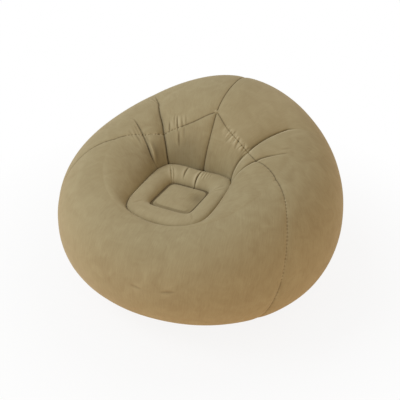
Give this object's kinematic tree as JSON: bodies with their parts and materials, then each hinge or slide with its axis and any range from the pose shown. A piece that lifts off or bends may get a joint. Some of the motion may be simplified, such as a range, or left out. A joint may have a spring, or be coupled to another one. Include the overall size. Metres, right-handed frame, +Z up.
{
  "type": "inflatable lounge chair",
  "caption": "Round inflatable lounge chair of flocked film: a ring of air swept up into arms and backrest round a quilted seat, with a two-stage valve on the back.",
  "frame": {"origin": "centre of the bounding box on the plane that the chair stands on", "axes": "+Z up, -Y towards the front of the seat, +X to the right when the chair is seen from the front; the shell is symmetric about X = 0 apart from the valve"},
  "size_m": [1.0674, 1.0794, 0.6554],
  "materials": {
    "flocked_film": "short velvety flock on welded vinyl film, khaki beige",
    "plain_film": "plain vinyl film, khaki brown, a little glossy",
    "valve_vinyl": "soft moulded vinyl, satin",
    "clear_vinyl": "thin soft clear vinyl"
  },
  "bodies": {
    "chair": {"front_panel": "flocked_film", "back_panel_left": "flocked_film", "back_panel_right": "flocked_film", "seat_panel": "flocked_film", "base_panel": "plain_film", "seat_doubler": "plain_film", "base_doubler": "plain_film", "seat_tie_front": "plain_film", "seat_tie_right": "plain_film", "seat_tie_rear": "plain_film", "seat_tie_left": "plain_film", "valve_flange": "valve_vinyl", "valve_neck": "valve_vinyl"},
    "stopper": {"valve_stopper": "valve_vinyl", "valve_leash": "valve_vinyl"},
    "cap": {"valve_cap": "valve_vinyl", "valve_plug": "valve_vinyl"},
    "flap": {"valve_flap": "clear_vinyl"}
  },
  "joints": [
    {"name": "stopper_pull", "type": "slide", "parent": "chair", "child": "stopper", "axis": [0.2273, 0.9733, -0.033], "range_m": [0, 0.018]},
    {"name": "cap_hinge", "type": "hinge", "parent": "stopper", "child": "cap", "pos_m": [0.12663, 0.53343, 0.29554], "axis": [0.9738, -0.2274, 0], "range_deg": [0, 150]},
    {"name": "flap_hinge", "type": "hinge", "parent": "stopper", "child": "flap", "pos_m": [0.12171, 0.51235, 0.28525], "axis": [-0.9738, 0.2274, 0], "range_deg": [0, 60], "stiffness_Nm_per_rad": 0.0005}
  ]
}
